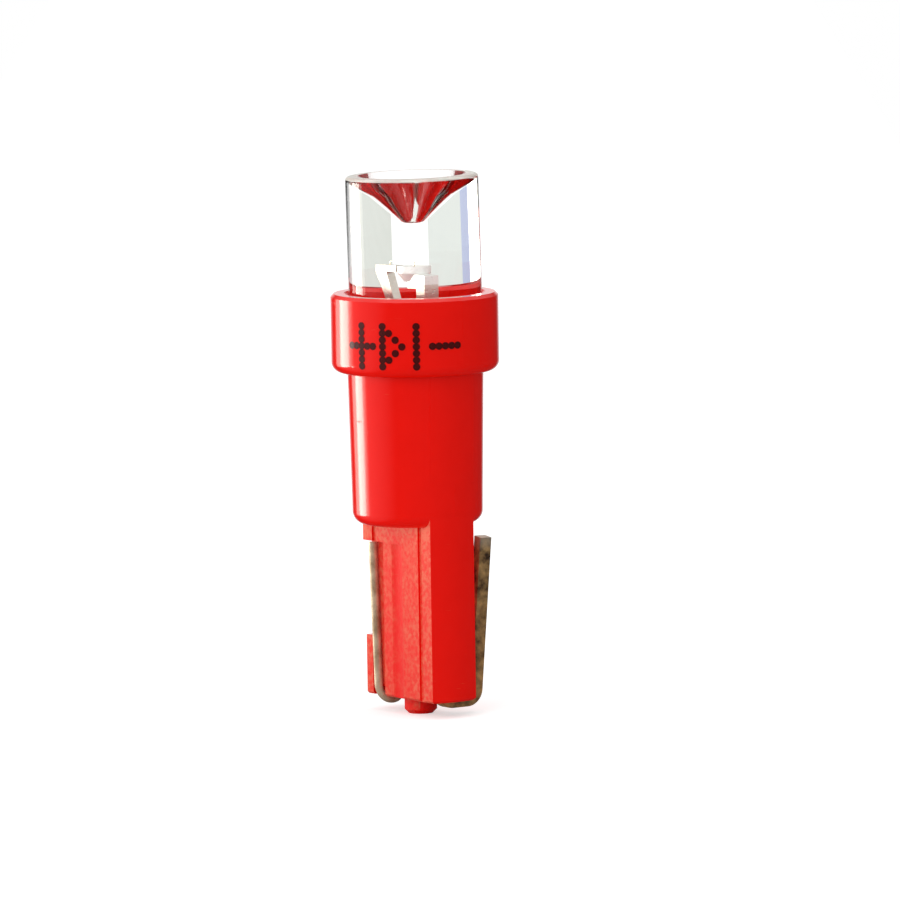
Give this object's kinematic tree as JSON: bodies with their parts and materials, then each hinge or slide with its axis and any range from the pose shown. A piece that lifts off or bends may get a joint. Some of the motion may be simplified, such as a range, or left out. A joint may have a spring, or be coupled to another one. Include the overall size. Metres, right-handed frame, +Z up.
{
  "type": "wedge led bulb",
  "caption": "Small LED bulb: a clear dished lens in a red collared holder with a flat wedge blade and folded wire contacts.",
  "frame": {"origin": "middle of the foot of the small boss under the blade, on the bulb's axis", "axes": "+Z up along the bulb's axis from blade to lens; X along the blade's width; Y through the blade's thickness, the resistor's wire on the -Y face"},
  "size_m": [0.0062, 0.0062, 0.0199],
  "materials": {
    "holder_plastic": "glossy translucent red moulding",
    "lens_epoxy": "water-clear epoxy",
    "led_frame": "tinned steel, tarnished where it is outside",
    "die_crystal": "polished crystal",
    "die_cement": "silver-filled cement",
    "bond_wire_gold": "bright gold",
    "solder": "satin solder",
    "resistor_ceramic": "fired ceramic",
    "resistor_cap": "tinned steel",
    "resistor_lacquer": "beige lacquer",
    "resistor_wire": "tinned copper, tarnished where it is outside"
  },
  "bodies": {
    "root": {"holder": "holder_plastic", "lens": "lens_epoxy", "cathode_frame": "led_frame", "anode_frame": "led_frame", "led_die": "die_crystal", "die_attach": "die_cement", "bond_wire": "bond_wire_gold", "solder_joint": "solder", "resistor_core": "resistor_ceramic", "resistor_cap_upper": "resistor_cap", "resistor_cap_lower": "resistor_cap", "resistor_coat": "resistor_lacquer", "resistor_lead_upper": "resistor_wire", "resistor_lead_lower": "resistor_wire"}
  },
  "joints": []
}
